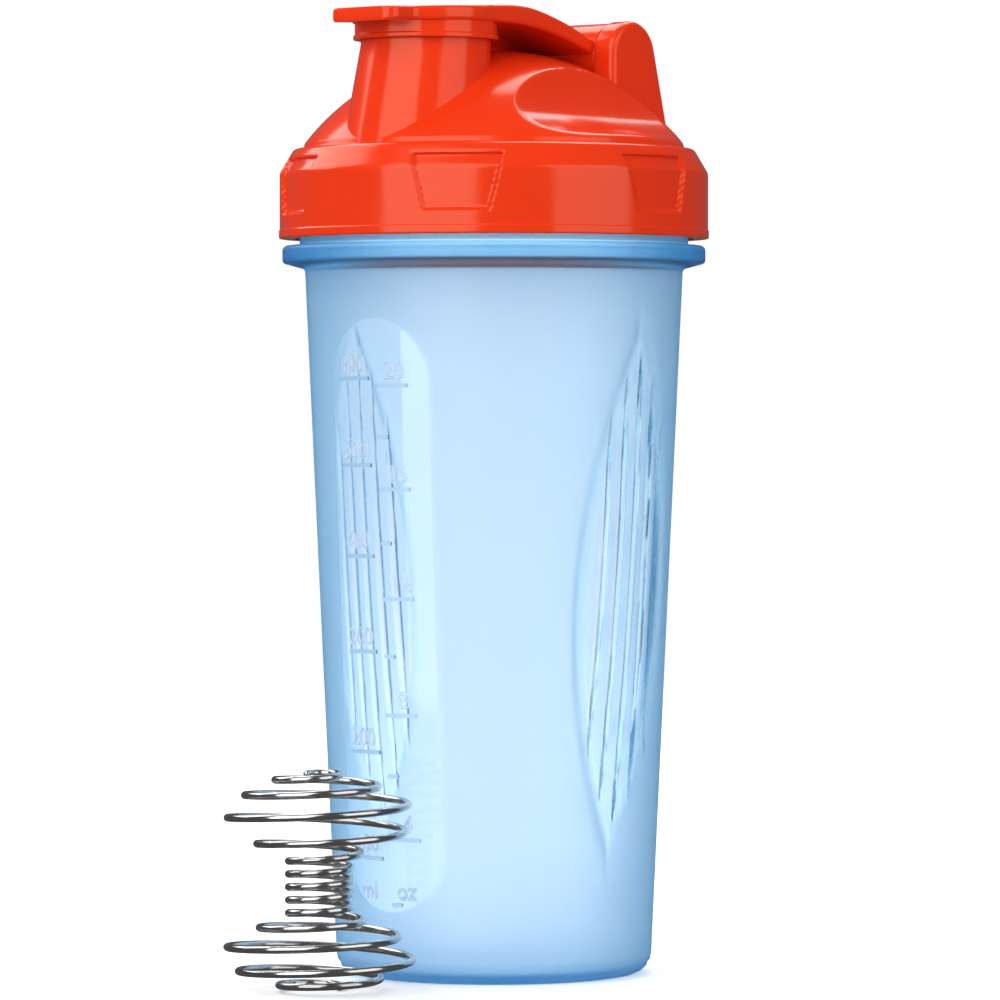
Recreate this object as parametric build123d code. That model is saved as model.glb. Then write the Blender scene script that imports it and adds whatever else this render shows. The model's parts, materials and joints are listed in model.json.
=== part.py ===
"""Shaker bottle: a tapered cup with a threaded neck, a screw lid with a drinking spout,
a flip cap that snaps over the spout, a lid gasket and a loose wire whisk ball.
Millimetres, +Z up, origin at the centre of the cup's base. The spout faces -Y, the cap's
hinge is at +Y and the finger grips are at +X and -X."""

import math
import os

from build123d import *

# ---------------------------------------------------------------- driving dimensions
# cup
BASE_R = 36.3               # outer radius where the taper starts
BASE_ROUND = 5.0            # rounding between floor and wall
TOP_R = 43.5                # outer radius where the taper ends
FLANGE_Z = 163.4            # height of the flange's underside
UNDER_FLANGE = 1.4          # from the end of the taper to the flange
CUP_WALL = 1.6
CUP_FLOOR = 2.4
FLANGE_OUT = 5.2            # how far the flange stands out of the wall
FLANGE_T = 4.0
NECK_OUT = 1.2              # how far the neck stands out of the wall
NECK_WALL = 1.8
NECK_H = 17.5               # from the flange to the rim

# finger grips, one on each side of the cup
GRIP_Z = 89.0
GRIP_HALF_H = 61.0
GRIP_HALF_W = 16.0
GRIP_LEAN = (-3.7, 0.9, 1.5)         # sideways shift of the grip's foot, middle and top
GRIP_DEPTH = 0.5
GROOVE_DEPTH = 1.0
GROOVE_W = 2.8
GROOVE_PITCH = 4.9
GROOVE_HALF_H = (55.0, 51.0, 41.0)   # middle groove, then the next pair, then the outer pair

# raised scale in the front and back windows
MARK_H = 0.4                # how far a mark stands out of the wall
MARK_T = 0.9                # line thickness
ML_STEP, ML_TOP = 100, 600
OZ_STEP, OZ_TOP = 2, 20
ML_PER_OZ = 29.5735
ML_MARK, OZ_LONG_MARK, OZ_SHORT_MARK = 9.2, 8.2, 2.9
MARK_FROM_MIDDLE = 1.15     # the two rows start this far from the window's middle line

# thread
THREAD_LEAD = 7.2
THREAD_DEPTH = 1.3
THREAD_ROOT = 3.0           # width where the ridge leaves the wall
THREAD_CREST = 1.6
THREAD_FIT = 0.3            # play on the flanks, and from each crest to the other wall
THREAD_FOOT = 5.2           # from the flange to the middle of the neck ridge where it starts
THREAD_HEAD = 2.22          # from the middle of the neck ridge where it ends to the rim
LID_TURNS = 1.0
LID_START = 0.1             # turn after which the lid ridge starts

# screw lid
LID_WALL = 3.0              # skirt wall
LID_LIP = 0.2               # flare of the bottom lip
LID_GAP = 1.6               # from the flange to the lid's bottom edge
LID_ROOF = 2.4              # from the ceiling over the gasket to the top of the shoulder
SHOULDER_IN = 3.3           # how far the shoulder steps in
SHOULDER_H = 5.6
DOME_IN = 2.5               # from the shoulder's top edge in to the dome
DOME_H = 22.7               # from the shoulder's top to the top of the dome
DOME_RISE = 21.344          # how far the dome's sphere rises from its edge
DOME_WALL = 2.0
POCKETS = 6
POCKET_DEPTH = 1.0
POCKET_FOOT = 5.5           # from the lid's bottom edge to a pocket
POCKET_HEAD = 3.0           # how far a pocket runs up the shoulder
POCKET_HALF_ANGLE = (8.7, 12.5)      # degrees, at the bottom and at the top
SCOOP_R = 18.8
SCOOP_IN = 2.1              # scoop's axis, in from the dome's edge
SCOOP_DROP = 1.7            # scoop's axis, below the top of the dome

# spout
SPOUT_IN = 19.5             # spout's axis, in from the dome's edge
SPOUT_RISE = 4.5            # rim above the top of the dome
SPOUT_TOP_R = 14.8
SPOUT_WALL = 2.1
SPOUT_STRAIGHT = 4.0        # upright stretch below the rim, which the cap's skirt goes over
SPOUT_LEAN = 2.3            # how far the foot stands in front of the rim
SPOUT_FLARE = 1.1           # how much wider the foot is than the rim
SPOUT_FOOT_H = 8.4          # foot above the shoulder's top

# gasket
GASKET_T = 2.0
GASKET_W = 3.6
GASKET_GAP = 0.15

# hinge
HINGE_IN = 19.5             # hinge's axis, in from the dome's edge
HINGE_DROP = 1.0            # hinge's axis, below the top of the dome
EAR_RIM = 0.3               # how far an ear stands out round the barrel
EAR_T = 5.4
EAR_GAP = 34.0              # between the inner faces of the two ears
EAR_SLOPE = 15.0            # lean of the back edge, degrees
EAR_ROUND = 1.6
BARREL_R = 7.8
BARREL_FIT = 0.5            # between the barrel's ends and the ears
TRUNNION_R = 3.2
TRUNNION_LENGTH = 3.0
TRUNNION_FIT = 0.05

# flip cap
CAP_FIT = 0.4               # skirt to spout, all round
CAP_SKIRT_WALL = 1.0
CAP_SKIRT_DROP = 3.2        # from the spout's rim to the skirt's bottom edge
CAP_LIP = 0.35
CAP_ROOF_GAP = 0.5          # spout rim to the underside of the plate
CAP_PLATE_OUT = 2.2         # how far the plate stands out round the spout
CAP_BAND_T = 3.9
TAB_OUT = 6.0               # from the plate's edge to the thumb tab's tip
TAB_HALF_W = 9.5
STRAP_FIT = 0.7             # strap to ear, each side
PLUG_FIT = 0.5
PLUG_WALL = 1.3
PLUG_TAPER = 0.2
PLUG_DROP = 3.2

# wire whisk: each station is (turn counted from the top, radius of the wire's middle,
# height of the wire's underside)
WIRE_D = 1.74
WHISK_GAP = 0.98            # from the whisk's widest turn to the cup
WHISK_START = 220.0         # where the wire's top end points, degrees from +X
WHISK_STEPS = 8             # points for each turn
WAIST_R, WAIST_PITCH = 7.0, 2.9
WAIST_TURNS = (5, 9)
WAIST_TOP_Z = 28.23
WHISK_TOP = (
    (0.0, 2.8, 47.63), (0.5, 4.4, 47.53), (1.0, 10.0, 46.33), (1.5, 13.2, 44.93),
    (2.0, 16.9, 42.93), (2.5, 20.1, 40.83), (3.0, 20.8, 37.93), (3.5, 19.2, 34.63),
    (4.0, 14.0, 32.13), (4.5, 9.3, 29.93),
)
WHISK_BOTTOM = (
    (9.5, 9.6, 15.03), (10.0, 13.6, 13.33), (10.5, 17.8, 11.43), (11.0, 20.9, 9.03),
    (11.5, 20.9, 6.13), (12.0, 18.2, 3.73), (12.5, 13.6, 1.83), (13.0, 9.0, 0.63),
    (13.5, 4.4, 0.05),
)

# ---------------------------------------------------------------- worked-out dimensions
TAPER_FOOT_Z = BASE_ROUND
TAPER_TOP_Z = FLANGE_Z - UNDER_FLANGE
FLANGE_R = TOP_R + FLANGE_OUT
FLANGE_TOP = FLANGE_Z + FLANGE_T
NECK_R = TOP_R + NECK_OUT
NECK_BORE = NECK_R - NECK_WALL
RIM_Z = FLANGE_TOP + NECK_H
NECK_THREAD_Z = FLANGE_TOP + THREAD_FOOT
NECK_TURNS = (NECK_H - THREAD_FOOT - THREAD_HEAD) / THREAD_LEAD
GASKET_Z = RIM_Z + GASKET_GAP
LID_CEILING = GASKET_Z + GASKET_T + GASKET_GAP
LID_FOOT_Z = FLANGE_TOP + LID_GAP
LID_BORE = NECK_R + THREAD_DEPTH + THREAD_FIT
LID_R = LID_BORE + LID_WALL
SHOULDER_R = LID_R - SHOULDER_IN
SHOULDER_TOP_Z = LID_CEILING + LID_ROOF
SHOULDER_Z = SHOULDER_TOP_Z - SHOULDER_H
DOME_R = SHOULDER_R - DOME_IN
DOME_TOP_Z = SHOULDER_TOP_Z + DOME_H
DOME_SPHERE_R = (DOME_R**2 + DOME_RISE**2) / (2 * DOME_RISE)
DOME_CENTRE_Z = DOME_TOP_Z - DOME_SPHERE_R
SCOOP_X = DOME_R - SCOOP_IN
SCOOP_Z = DOME_TOP_Z - SCOOP_DROP
SPOUT_Y = SPOUT_IN - DOME_R
SPOUT_TOP_Z = DOME_TOP_Z + SPOUT_RISE
SPOUT_BORE_R = SPOUT_TOP_R - SPOUT_WALL
HINGE_Y = DOME_R - HINGE_IN
HINGE_Z = DOME_TOP_Z - HINGE_DROP
EAR_R = BARREL_R + EAR_RIM
CAP_PLATE_R = SPOUT_TOP_R + CAP_PLATE_OUT
TAB_REACH = CAP_PLATE_R + TAB_OUT - SPOUT_Y
STRAP_HALF_W = EAR_GAP / 2 - STRAP_FIT
CAP_ROOF_Z = SPOUT_TOP_Z + CAP_ROOF_GAP
CAP_TOP_Z = CAP_ROOF_Z + CAP_BAND_T
CAP_SKIRT_Z = SPOUT_TOP_Z - CAP_SKIRT_DROP
PLUG_Z = SPOUT_TOP_Z - PLUG_DROP
BIG = 120.0                 # larger than any piece, for cutting tools


def wall_radius(z):
    """Outer radius of the cup's tapered wall at height z."""
    return BASE_R + (TOP_R - BASE_R) * (z - TAPER_FOOT_Z) / (TAPER_TOP_Z - TAPER_FOOT_Z)


def turned(corners):
    """Solid of revolution about Z from corners (radius, height, rounding)."""
    line = FilletPolyline(
        *[(r, z) for r, z, _ in corners], radius=[f for _, _, f in corners], close=True
    )
    return revolve(Plane.XZ * make_face(line), Axis.Z)


def wall_layer(inside, outside):
    """The cup's tapered wall as a layer from inside to outside of its outer face."""
    low, high = wall_radius(0), wall_radius(TAPER_TOP_Z)
    return turned([
        (low + inside, 0, 0), (low + outside, 0, 0),
        (high + outside, TAPER_TOP_Z, 0), (high + inside, TAPER_TOP_Z, 0),
    ])


def sideways(face, length=BIG):
    """A face drawn in (Y, Z), as a prism along +X that starts at the axis."""
    return extrude(Plane.YZ * face, length)


def lens(half_w, half_h, middle=0.0):
    """Pointed lens between two arcs, leaning as the grip does, drawn in (across, height)."""
    foot, waist, top = (middle + lean for lean in GRIP_LEAN)
    low, high = (foot, GRIP_Z - half_h), (top, GRIP_Z + half_h)
    left = ThreePointArc(low, (waist - half_w, GRIP_Z), high)
    right = ThreePointArc(high, (waist + half_w, GRIP_Z), low)
    return make_face([left, right])


def both_sides(part):
    return [part, part.rotate(Axis.Z, 180)]


# ---------------------------------------------------------------- cup
def height_for(ml):
    """Height in the cup at which it holds so many millilitres."""
    z, volume, step = CUP_FLOOR, 0.0, 0.1
    while volume < ml * 1000:
        volume += math.pi * (wall_radius(z) - CUP_WALL) ** 2 * step
        z += step
    return z


def grip_cut():
    """Lens recess of one grip with its five tapering grooves."""
    tool = sideways(lens(GRIP_HALF_W, GRIP_HALF_H)) & wall_layer(-GRIP_DEPTH, 3)
    deep = wall_layer(-GRIP_DEPTH - GROOVE_DEPTH, 3)
    for k in range(-2, 3):
        line = lens(GROOVE_W / 2, GROOVE_HALF_H[abs(k)], k * GROOVE_PITCH)
        tool += sideways(line) & deep
    return tool


def grip_pad():
    """The same lens inside the cup, where the wall steps in behind the grip."""
    face = lens(GRIP_HALF_W + CUP_WALL, GRIP_HALF_H + CUP_WALL)
    return sideways(face) & wall_layer(-GRIP_DEPTH - GROOVE_DEPTH - CUP_WALL, 0)


def scale_marks():
    """Raised lines: millilitres on the left, fluid ounces on the right."""
    layer = wall_layer(-CUP_WALL / 2, MARK_H)
    bars = []
    for ml in range(ML_STEP, ML_TOP + 1, ML_STEP):
        bars.append((-MARK_FROM_MIDDLE - ML_MARK / 2, height_for(ml), ML_MARK))
    for oz in range(OZ_STEP, OZ_TOP + 1, OZ_STEP):
        length = OZ_LONG_MARK if oz % (2 * OZ_STEP) == 0 else OZ_SHORT_MARK
        bars.append((MARK_FROM_MIDDLE + length / 2, height_for(oz * ML_PER_OZ), length))
    return [layer & Pos(x, -BIG / 4, z) * Box(w, BIG / 2, MARK_T) for x, z, w in bars]


def ridge(wall_r, sign, z, turns, start=0.0):
    """Thread ridge on a wall, outward for sign 1 and inward for sign -1."""
    sunk = 0.3
    path = Pos(0, 0, z) * Rot(0, 0, 360 * start) * Helix(THREAD_LEAD, THREAD_LEAD * turns, wall_r)
    outline = Polyline(
        (-sunk, -THREAD_ROOT / 2), (THREAD_DEPTH, -THREAD_CREST / 2),
        (THREAD_DEPTH, THREAD_CREST / 2), (-sunk, THREAD_ROOT / 2), close=True,
    )
    out = Vector(sign, 0, 0).rotate(Axis.Z, 360 * start)
    along = path % 0
    plane = Plane(origin=path @ 0, x_dir=out, z_dir=along)
    return sweep(plane * make_face(outline), path=path, is_frenet=True)


def cup():
    outer = turned([
        (0, 0, 0), (wall_radius(0), 0, BASE_ROUND), (TOP_R, TAPER_TOP_Z, 1.0),
        (FLANGE_R, FLANGE_Z, 1.0), (FLANGE_R, FLANGE_TOP, 1.2), (NECK_R, FLANGE_TOP, 0.6),
        (NECK_R, RIM_Z, 0.5), (0, RIM_Z, 0),
    ])
    inner = turned([
        (0, CUP_FLOOR, 0), (wall_radius(CUP_FLOOR) - CUP_WALL, CUP_FLOOR, 3.0),
        (TOP_R - CUP_WALL, TAPER_TOP_Z, 0), (NECK_BORE, TAPER_TOP_Z + 4, 0),
        (NECK_BORE, RIM_Z + 1, 0), (0, RIM_Z + 1, 0),
    ])
    for pad in both_sides(grip_pad()):
        inner -= pad
    for mark in scale_marks():
        for bar in both_sides(mark):
            outer += bar
    body = outer - both_sides(grip_cut()) - inner
    return body + ridge(NECK_R, 1, NECK_THREAD_Z, NECK_TURNS)


# ---------------------------------------------------------------- lid
def dome(radius, r_edge, z_foot):
    """Cap of a sphere about the dome's centre, over a straight-sided plug."""
    height = math.sqrt(radius**2 - r_edge**2) + DOME_CENTRE_Z
    mid = radius * math.sin(math.asin(r_edge / radius) / 2)
    arc = ThreePointArc(
        (r_edge, height), (mid, math.sqrt(radius**2 - mid**2) + DOME_CENTRE_Z),
        (0, radius + DOME_CENTRE_Z),
    )
    sides = Polyline((0, radius + DOME_CENTRE_Z), (0, z_foot), (r_edge, z_foot), (r_edge, height))
    return revolve(Plane.XZ * make_face([arc, sides]), Axis.Z)


def across(y, z, radius, length):
    """Cylinder along X, centred on the middle plane."""
    return Pos(0, y, z) * Rot(0, 90, 0) * Cylinder(radius, length)


def scoops(extra=0.0):
    """The two finger scoops, as cylinders along Y."""
    rod = Rot(90, 0, 0) * Cylinder(SCOOP_R + extra, BIG)
    return [Pos(side * SCOOP_X, 0, SCOOP_Z) * rod for side in (-1, 1)]


def ear():
    """One hinge ear, with a blind hole for the cap's trunnion."""
    lean = math.radians(EAR_SLOPE)
    tangent = (HINGE_Y + EAR_R * math.cos(lean), HINGE_Z + EAR_R * math.sin(lean))
    foot_z = LID_CEILING + DOME_WALL
    foot_y = tangent[0] + (tangent[1] - foot_z) * math.tan(lean)
    line = Polyline(
        (HINGE_Y - EAR_R, HINGE_Z), (HINGE_Y - EAR_R, foot_z), (foot_y, foot_z), tangent
    )
    top = ThreePointArc(tangent, (HINGE_Y, HINGE_Z + EAR_R), (HINGE_Y - EAR_R, HINGE_Z))
    plate = sideways(make_face([line, top]), EAR_T)
    face = plate.faces().sort_by(Axis.X)[-1]
    rim = [e for e in face.edges() if e.center().Z > foot_z + 1]
    return Pos(EAR_GAP / 2, 0, 0) * fillet(rim, EAR_ROUND)


def pocket_cut():
    """Six shallow trapezoid pockets round the collar."""
    low, high = LID_FOOT_Z + POCKET_FOOT, SHOULDER_Z + POCKET_HEAD
    a_low, a_high = POCKET_HALF_ANGLE
    slope = (LID_R - SHOULDER_R) / (SHOULDER_TOP_Z - SHOULDER_Z)
    floor_r = LID_R - POCKET_DEPTH
    layer = turned([
        (floor_r, low, 0), (BIG / 2, low, 0), (BIG / 2, high, 0),
        (floor_r - slope * (high - SHOULDER_Z), high, 0), (floor_r, SHOULDER_Z, 0),
    ])
    w_low, w_high = (LID_R * math.sin(math.radians(a)) for a in (a_low, a_high))
    face = make_face(Polyline(
        (-w_low, low), (w_low, low), (w_high, high), (-w_high, high), close=True
    ))
    wedge = sideways(face)
    tools = []
    for k in range(POCKETS):
        turn = -90 + 360 / POCKETS * (k + 0.5)
        tools.append(wedge.rotate(Axis.Z, turn) & layer)
    return tools


def screw_lid():
    body = turned([
        (0, LID_FOOT_Z, 0), (LID_R + LID_LIP, LID_FOOT_Z, 0.4),
        (LID_R + LID_LIP, LID_FOOT_Z + 1.8, 0), (LID_R, LID_FOOT_Z + 2.1, 0),
        (LID_R, SHOULDER_Z, 2.5), (SHOULDER_R, SHOULDER_TOP_Z, 1.5), (0, SHOULDER_TOP_Z, 0),
    ])
    body += dome(DOME_SPHERE_R, DOME_R, SHOULDER_TOP_Z - 1)
    body -= scoops()
    body -= pocket_cut()
    spout_foot = Pos(0, SPOUT_Y - SPOUT_LEAN, SHOULDER_TOP_Z + SPOUT_FOOT_H) * Circle(
        SPOUT_TOP_R + SPOUT_FLARE
    )
    spout_neck = Pos(0, SPOUT_Y, SPOUT_TOP_Z - SPOUT_STRAIGHT) * Circle(SPOUT_TOP_R)
    body += loft([spout_foot, spout_neck])
    body += extrude(spout_neck, SPOUT_STRAIGHT)
    right = ear()
    body += [right, mirror(right, Plane.YZ)]

    trough = EAR_GAP - 0.02
    cavity = dome(DOME_SPHERE_R - DOME_WALL, DOME_R - DOME_WALL, LID_CEILING - 1)
    cavity -= scoops(DOME_WALL)
    cavity -= across(HINGE_Y, HINGE_Z, BARREL_R + BARREL_FIT + DOME_WALL, trough + 4)
    cavity += Pos(0, 0, (LID_FOOT_Z + LID_CEILING) / 2 - 1) * Cylinder(
        LID_BORE, LID_CEILING - LID_FOOT_Z + 2
    )
    body -= cavity
    body -= across(HINGE_Y, HINGE_Z, BARREL_R + BARREL_FIT, trough)
    bore_foot = LID_CEILING + 6
    body -= Pos(0, SPOUT_Y, (bore_foot + SPOUT_TOP_Z) / 2 + 1) * Cylinder(
        SPOUT_BORE_R, SPOUT_TOP_Z - bore_foot + 2
    )
    hole_depth = TRUNNION_LENGTH + BARREL_FIT
    body -= across(HINGE_Y, HINGE_Z, TRUNNION_R + TRUNNION_FIT, EAR_GAP + 2 * hole_depth)
    drop = (THREAD_ROOT + THREAD_CREST) / 2 + THREAD_FIT
    lid_z = NECK_THREAD_Z - drop + THREAD_LEAD * LID_START
    return body + ridge(LID_BORE, -1, lid_z, LID_TURNS, LID_START)


def lid_gasket():
    middle = (NECK_R + NECK_BORE) / 2
    low, high = middle - GASKET_W / 2, middle + GASKET_W / 2
    top = GASKET_Z + GASKET_T
    return turned([(low, GASKET_Z, 0.4), (high, GASKET_Z, 0.4), (high, top, 0.4), (low, top, 0.4)])


# ---------------------------------------------------------------- flip cap
def flip_cap():
    """Plate with a thumb tab, an arched strap and a hinge barrel, all one moulding."""
    plan = Pos(0, SPOUT_Y) * Circle(CAP_PLATE_R)
    plan += Pos(0, (SPOUT_Y + HINGE_Y) / 2) * Rectangle(2 * STRAP_HALF_W, HINGE_Y - SPOUT_Y)
    tab_length = TAB_REACH + SPOUT_Y
    plan += Pos(0, SPOUT_Y - tab_length / 2) * Rectangle(2 * TAB_HALF_W, tab_length)
    tip = plan.vertices().filter_by(lambda v: v.Y < -TAB_REACH + 0.1)
    plan = fillet(tip, 3.0)
    tab_root = 3.1 - TAB_REACH
    root = plan.vertices().filter_by(lambda v: abs(abs(v.X) - TAB_HALF_W) < 0.1 and v.Y > tab_root)
    plan = fillet(root, 9.0)
    prism = Pos(0, 0, HINGE_Z - 10) * extrude(plan, BIG / 4)

    meet = (HINGE_Y - BARREL_R + 1.5, HINGE_Z + 1.6)
    top = Spline(
        (-TAB_REACH - 2, CAP_TOP_Z - 1.2), (SPOUT_Y, CAP_TOP_Z - 0.2),
        (SPOUT_Y + 16, CAP_TOP_Z + 0.3), (HINGE_Y - 19, CAP_TOP_Z - 2.3), (meet[0], meet[1] + 1.6),
    )
    lower = Spline(
        (-TAB_REACH - 2, CAP_TOP_Z - 4.4), (SPOUT_Y - 14, CAP_ROOF_Z), (SPOUT_Y + 14, CAP_ROOF_Z),
        (HINGE_Y - 20, CAP_ROOF_Z - 2.0), (meet[0], meet[1] - 1.7),
    )
    front = Line(lower @ 0, top @ 0)
    back = Line(top @ 1, lower @ 1)
    band = sideways(make_face([top, back, lower, front]), 2 * BIG)
    body = prism & Pos(-BIG, 0, 0) * band

    length = EAR_GAP - 2 * BARREL_FIT
    body += across(HINGE_Y, HINGE_Z, BARREL_R, length)
    body += across(HINGE_Y, HINGE_Z, TRUNNION_R, length + 2 * TRUNNION_LENGTH)

    inner = SPOUT_TOP_R + CAP_FIT
    outer = inner + CAP_SKIRT_WALL
    skirt = turned([
        (inner, CAP_SKIRT_Z, 0), (outer + CAP_LIP, CAP_SKIRT_Z, 0.2),
        (outer + CAP_LIP, CAP_SKIRT_Z + 0.9, 0), (outer, CAP_SKIRT_Z + 1.2, 0),
        (outer, CAP_ROOF_Z + 0.5, 0), (inner, CAP_ROOF_Z + 0.5, 0),
    ])
    plug_r = SPOUT_BORE_R - PLUG_FIT
    plug = turned([
        (plug_r - PLUG_WALL, PLUG_Z, 0), (plug_r - PLUG_TAPER, PLUG_Z, 0.3),
        (plug_r, CAP_ROOF_Z + 0.5, 0), (plug_r - PLUG_WALL, CAP_ROOF_Z + 0.5, 0),
    ])
    return body + Pos(0, SPOUT_Y, 0) * skirt + Pos(0, SPOUT_Y, 0) * plug


# ---------------------------------------------------------------- whisk
def wire_whisk():
    """One wire wound as two balls joined by a close-coiled waist."""
    first, last = WAIST_TURNS
    waist = [
        (first + k / 2, WAIST_R, WAIST_TOP_Z - k / 2 * WAIST_PITCH)
        for k in range(2 * (last - first) + 1)
    ]
    stations = [*WHISK_TOP, *waist, *WHISK_BOTTOM]
    points = []
    for (n0, r0, z0), (n1, r1, z1) in zip(stations, stations[1:]):
        count = round((n1 - n0) * WHISK_STEPS)
        for k in range(count):
            s = k / count
            turn = 2 * math.pi * (n0 + (n1 - n0) * s)
            r = r0 + (r1 - r0) * s
            points.append(whisk_point(turn, r, z0 + (z1 - z0) * s))
    n, r, z = stations[-1]
    points.append(whisk_point(2 * math.pi * n, r, z))
    path = Spline(*points)
    profile = Plane(origin=path @ 0, z_dir=path % 0) * Circle(WIRE_D / 2)
    return sweep(profile, path=path, is_frenet=True)


def whisk_point(turn, radius, underside):
    """Clockwise from above on the way down, as a right-hand coil beside the cup."""
    reach = max(wall_radius(z + WIRE_D / 2) + r for _, r, z in WHISK_TOP + WHISK_BOTTOM)
    middle = -(reach + WIRE_D / 2 + WHISK_GAP)
    angle = math.radians(WHISK_START) - turn
    x, y = radius * math.cos(angle), middle + radius * math.sin(angle)
    return (x, y, underside + WIRE_D / 2)


def main():
    os.makedirs("parts", exist_ok=True)
    for make in (cup, lid_gasket, screw_lid, flip_cap, wire_whisk):
        part = make()
        part.label = make.__name__
        export_step(part, f"parts/{make.__name__}.step")


main()
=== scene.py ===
"""Looks for the shaker bottle: frosted cup, glossy red lid and flip cap, gasket and wire whisk."""

import json
import math

import bmesh
import bpy
import numpy as np
from bpy.props import FloatProperty, FloatVectorProperty, IntProperty, PointerProperty
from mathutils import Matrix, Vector


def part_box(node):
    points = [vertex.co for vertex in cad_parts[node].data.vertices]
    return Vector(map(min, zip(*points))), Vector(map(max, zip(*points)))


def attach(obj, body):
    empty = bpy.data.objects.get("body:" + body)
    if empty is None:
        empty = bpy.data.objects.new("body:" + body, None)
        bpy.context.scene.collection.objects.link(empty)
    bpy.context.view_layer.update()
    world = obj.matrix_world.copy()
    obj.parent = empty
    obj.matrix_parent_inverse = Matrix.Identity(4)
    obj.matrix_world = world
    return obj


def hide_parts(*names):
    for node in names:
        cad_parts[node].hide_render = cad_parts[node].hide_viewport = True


bl_info = {
    "name": "Shaker bottle",
    "version": (1, 0, 0),
    "blender": (4, 5, 0),
    "location": "View3D > Sidebar > Shaker",
    "description": "Builds a shaker bottle with its flip cap and whisk around its packed frame",
    "category": "Add Mesh",
}

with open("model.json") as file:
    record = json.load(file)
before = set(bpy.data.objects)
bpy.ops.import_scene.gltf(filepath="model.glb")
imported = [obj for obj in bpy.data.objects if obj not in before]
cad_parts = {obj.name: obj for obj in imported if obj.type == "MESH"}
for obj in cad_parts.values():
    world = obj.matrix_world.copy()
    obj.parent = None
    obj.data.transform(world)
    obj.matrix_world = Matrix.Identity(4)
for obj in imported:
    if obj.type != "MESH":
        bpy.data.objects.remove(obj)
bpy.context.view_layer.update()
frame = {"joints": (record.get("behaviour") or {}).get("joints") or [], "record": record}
MM = 0.001
CUP_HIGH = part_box("cup")[1]
LID_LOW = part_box("screw_lid")[0]
GASKET_LOW, GASKET_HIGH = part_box("lid_gasket")
WHISK_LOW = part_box("wire_whisk")[0]
HINGE = next(j for j in frame["joints"] if j["name"] == "cap_hinge")
COUPLING = frame["record"]["behaviour"]["couplings"][0]
THREAD_LEAD = COUPLING["ratio"] * 2 * math.pi
THREAD_Z = 172.6 * MM       # middle of the neck's ridge where it starts
NECK_TURNS, LID_TURNS = 1.4, 1.0
LID_THREAD_DROP = 2.6 * MM  # the lid's ridge lies this far below the neck's
LID_THREAD_START = 0.1      # and starts this part of a turn later
LID_CEILING = GASKET_HIGH.z + 0.15 * MM
ML_PER_OZ = 29.5735
POLYPROPYLENE_IOR = 1.49


def linear(code):
    """An sRGB hex colour as linear red, green and blue."""
    parts = [int(code[i:i + 2], 16) / 255 for i in (1, 3, 5)]
    return tuple(c / 12.92 if c <= 0.04045 else ((c + 0.055) / 1.055) ** 2.4 for c in parts)


def length_prop(name, description, mm):
    return FloatProperty(
        name=name, description=description, default=mm * MM, subtype="DISTANCE", unit="LENGTH"
    )


def number_prop(name, description, default):
    return FloatProperty(name=name, description=description, default=default)


def angle_prop(name, description, degrees):
    return FloatProperty(
        name=name, description=description, default=math.radians(degrees),
        subtype="ANGLE", unit="ROTATION",
    )


def colour_prop(name, description, code):
    return FloatVectorProperty(
        name=name, description=description, default=linear(code), subtype="COLOR", min=0, max=1
    )


# ---------------------------------------------------------------- settings
class ShakerCup(bpy.types.PropertyGroup):
    base_r: length_prop("Base radius", "Outer radius where the taper starts", 36.3)
    base_round: length_prop("Base rounding", "Rounding between floor and wall", 5)
    top_r: length_prop("Top radius", "Outer radius where the taper ends", 43.5)
    taper_top: length_prop("Taper height", "Height where the taper ends", 162)
    wall: length_prop("Wall", "Wall thickness", 1.6)
    floor: length_prop("Floor", "Floor thickness", 2.4)
    flange_r: length_prop("Flange radius", "Outer radius of the flange", CUP_HIGH.x / MM)
    flange_z: length_prop("Flange height", "Underside of the flange", 163.4)
    flange_t: length_prop("Flange thickness", "Height of the flange's edge", 4)
    neck_r: length_prop("Neck radius", "Outer radius of the neck", 44.7)
    neck_wall: length_prop("Neck wall", "Wall thickness of the neck", 1.8)
    foot_band: length_prop("Foot band", "Height of the line above the foot", 2.6)
    grip_z: length_prop("Grip height", "Middle of the finger grips", 89)
    grip_half_h: length_prop("Grip half height", "Half the grips' height", 61)
    grip_half_w: length_prop("Grip half width", "Half the grips' width", 16)
    grip_depth: length_prop("Grip depth", "How far a grip is sunk", 0.5)
    groove_pitch: length_prop("Groove pitch", "From one groove to the next", 4.9)
    groove_w: length_prop("Groove width", "Width of a groove at its middle", 2.8)
    grip_foot: length_prop("Grip foot lean", "Sideways shift of a grip's foot", -3.7)
    grip_waist: length_prop("Grip middle lean", "Sideways shift of a grip's middle", 0.9)
    grip_top: length_prop("Grip top lean", "Sideways shift of a grip's top", 1.5)
    groove_depth: length_prop("Groove depth", "Depth of a groove below the grip", 1)
    window_half_w: length_prop("Window half width", "Half width of the clear window", 14.4)
    window_low: length_prop("Window foot", "Lowest point of the clear window", 16)
    window_high: length_prop("Window top", "Highest point of the clear window", 150.5)
    plastic: colour_prop("Cup plastic", "Tint of the cup's polypropylene", "#FBF8FF")
    depth_tint: colour_prop("Depth tint", "Tint that deepens with thickness", "#1EDFFE")
    dye: number_prop("Dye", "How fast the tint deepens, for each metre of plastic", 160.0)


class ShakerMarks(bpy.types.PropertyGroup):
    height: length_prop("Relief", "How far the marks stand out", 0.4)
    line: length_prop("Line", "Thickness of a tick", 0.9)
    ml_tick: length_prop("Millilitre tick", "Length of a millilitre tick", 9.2)
    oz_tick: length_prop("Ounce tick", "Length of a numbered ounce tick", 8.2)
    short_tick: length_prop("Short tick", "Length of a plain ounce tick", 2.9)
    middle: length_prop("Middle gap", "From the middle line to the ticks", 1.15)
    digits: length_prop("Digits", "Height of the numbers", 3.9)
    stroke: length_prop("Stroke", "Radius of the numbers' raised outline", 0.17)


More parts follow.
